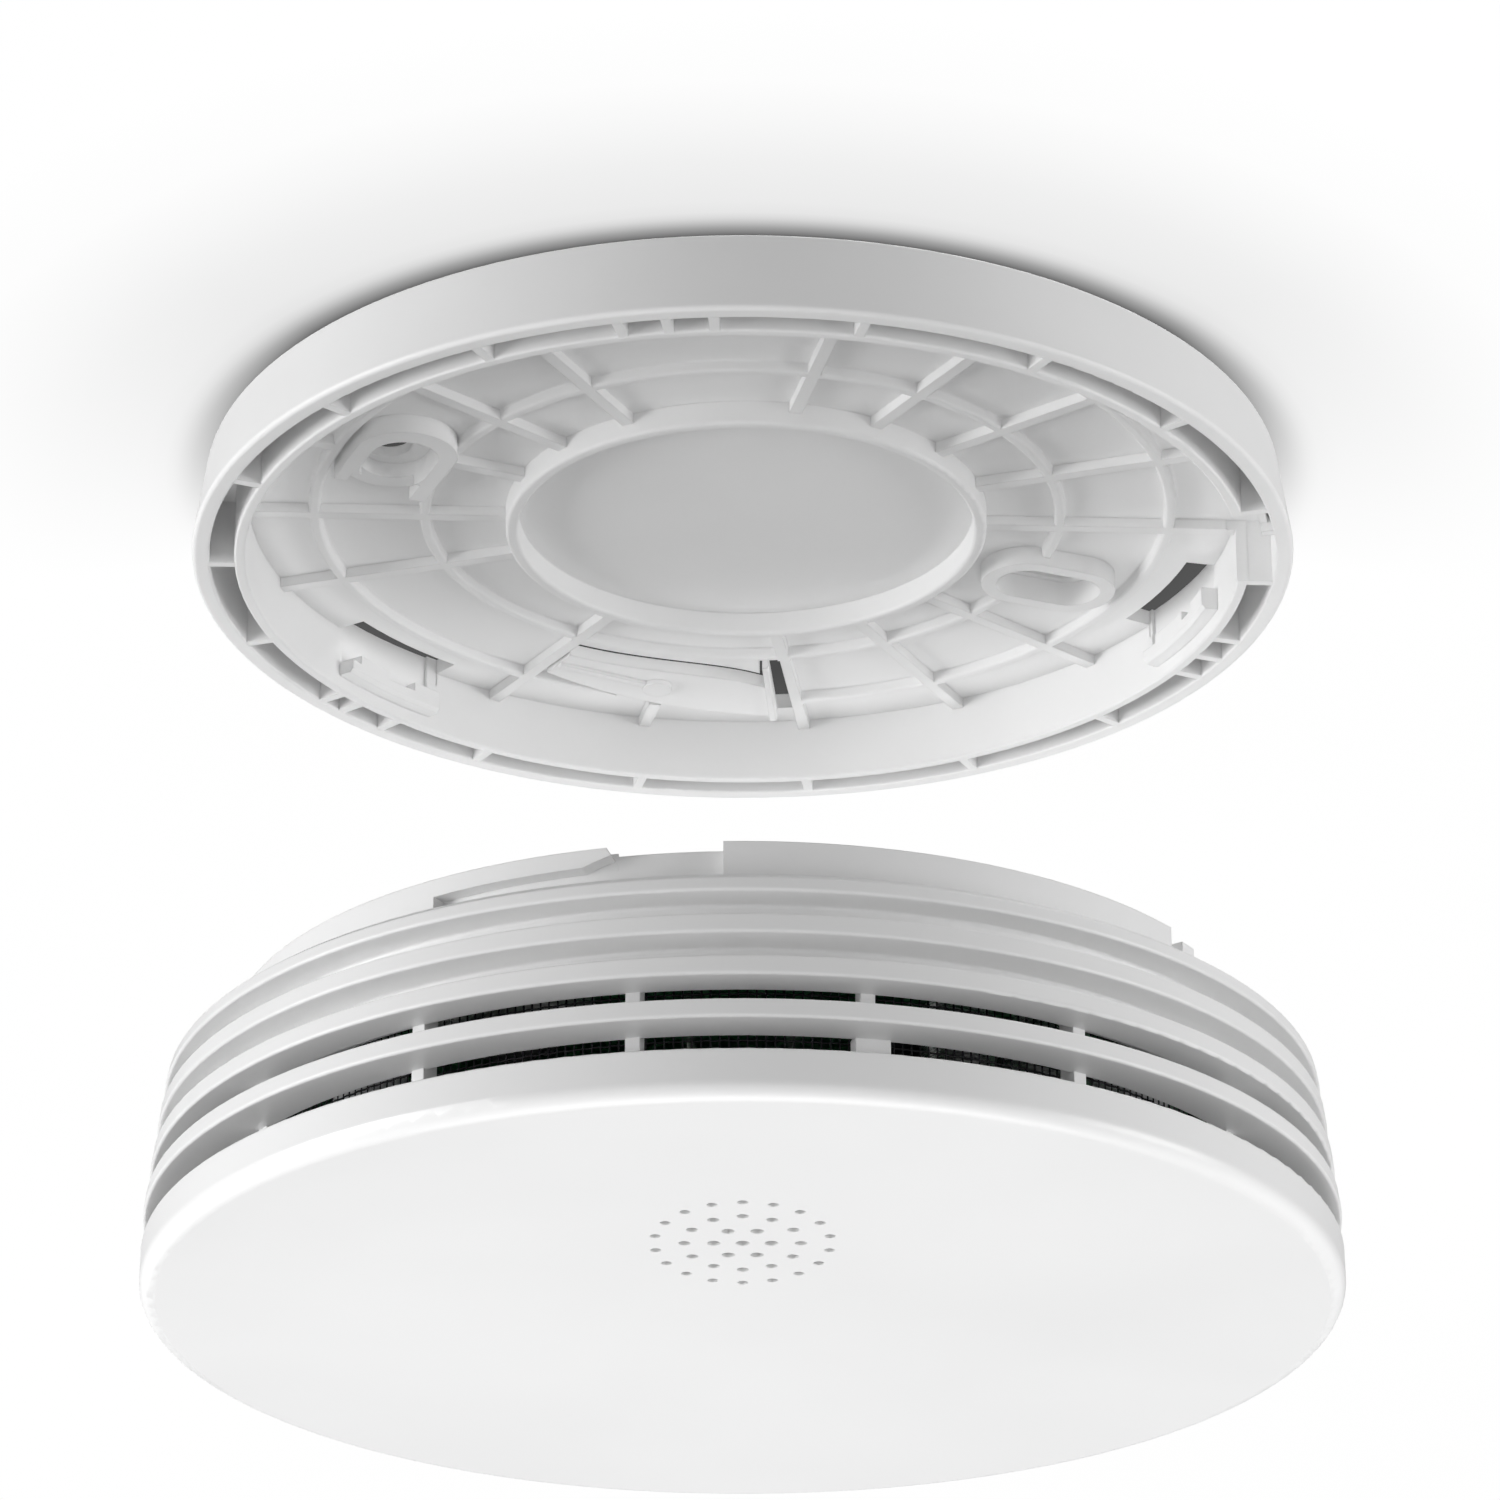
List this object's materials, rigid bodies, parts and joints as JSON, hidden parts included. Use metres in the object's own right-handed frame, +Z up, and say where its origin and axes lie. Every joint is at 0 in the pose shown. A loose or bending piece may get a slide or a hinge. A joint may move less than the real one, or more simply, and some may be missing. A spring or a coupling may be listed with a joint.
{
  "type": "smoke detector",
  "caption": "Round ceiling smoke detector drawn apart: a ribbed mounting base with a bayonet socket and a slatted disc head with a perforated sounder face.",
  "frame": {"origin": "centre of the mounting base's ceiling face; the whole detector hangs below it", "axes": "+Z up, out of the ceiling face; +X from the centre to the middle of the radial screw slot; the head hangs below on the Z axis"},
  "size_m": [0.1122, 0.1122, 0.0853],
  "materials": {
    "base_white": "satin moulded",
    "shell_white": "satin moulded",
    "face_white": "smooth silk",
    "mesh_steel": "dark woven wire",
    "board_green": "solder resist",
    "chamber_black": "matt black",
    "tinted_lens": "tinted resin",
    "black_plastic": "fine grain",
    "piezo_brass": "rolled",
    "spring_steel": "nickel plated",
    "gasket_rubber": "foam",
    "clear_plastic": "polished",
    "lamp_body": "moulded",
    "cell_wrap": "shrink sleeve",
    "shield_can": "tinned",
    "chip_black": "epoxy",
    "capacitor_can": "drawn can",
    "screw_steel": "zinc plated",
    "label_paper": "printed film, blank"
  },
  "bodies": {
    "base": {"base_plate": "base_white"},
    "latch": {"latch_finger": "base_white"},
    "screen": {"insect_screen": "mesh_steel"},
    "head": {"rear_housing": "shell_white", "louvre_housing": "shell_white", "main_circuit_board": "board_green", "chamber_base": "chamber_black", "chamber_cap": "chamber_black", "infrared_emitter": "tinted_lens", "light_receiver": "tinted_lens", "sounder_housing": "black_plastic", "piezo_disc": "piezo_brass", "sounder_contacts": "spring_steel", "sounder_gasket": "gasket_rubber", "light_pipe": "clear_plastic", "status_lamp": "lamp_body", "test_switch": "black_plastic", "battery_cell": "cell_wrap", "battery_contact_plus": "spring_steel", "battery_contact_minus": "spring_steel", "radio_module": "shield_can", "antenna": "spring_steel", "controller_chip": "chip_black", "boost_coil": "chip_black", "capacitors": "capacitor_can", "housing_screws": "screw_steel", "rear_label": "label_paper"},
    "front": {"front_cover": "face_white"},
    "plunger": {"test_plunger": "shell_white"},
    "door": {"battery_door": "shell_white"}
  },
  "joints": [
    {"name": "latch_flex", "type": "hinge", "parent": "base", "child": "latch", "pos_m": [-0.00556, 0.03678, -0.0022], "axis": [0.1495, -0.9888, 0], "range_deg": [0, 2.3], "stiffness_Nm_per_rad": 0.6},
    {"name": "head_lift", "type": "slide", "parent": "base", "child": "screen", "axis": [0, 0, 1], "range_m": [0, 0.0547]},
    {"name": "head_twist", "type": "hinge", "parent": "screen", "child": "head", "pos_m": [0, 0, 0], "axis": [0, 0, 1], "range_deg": [0, 21]},
    {"name": "cover_press", "type": "slide", "parent": "head", "child": "front", "axis": [0, 0, 1], "range_m": [0, 0.0005], "stiffness_N_per_m": 3000},
    {"name": "plunger_press", "type": "slide", "parent": "head", "child": "plunger", "axis": [0, 0, 1], "range_m": [0, 0.0005]},
    {"name": "door_slide", "type": "slide", "parent": "head", "child": "door", "axis": [0, -1, 0], "range_m": [0, 0.011]}
  ],
  "couplings": [
    {"joint": "plunger_press", "follows": "cover_press", "ratio": 1}
  ]
}
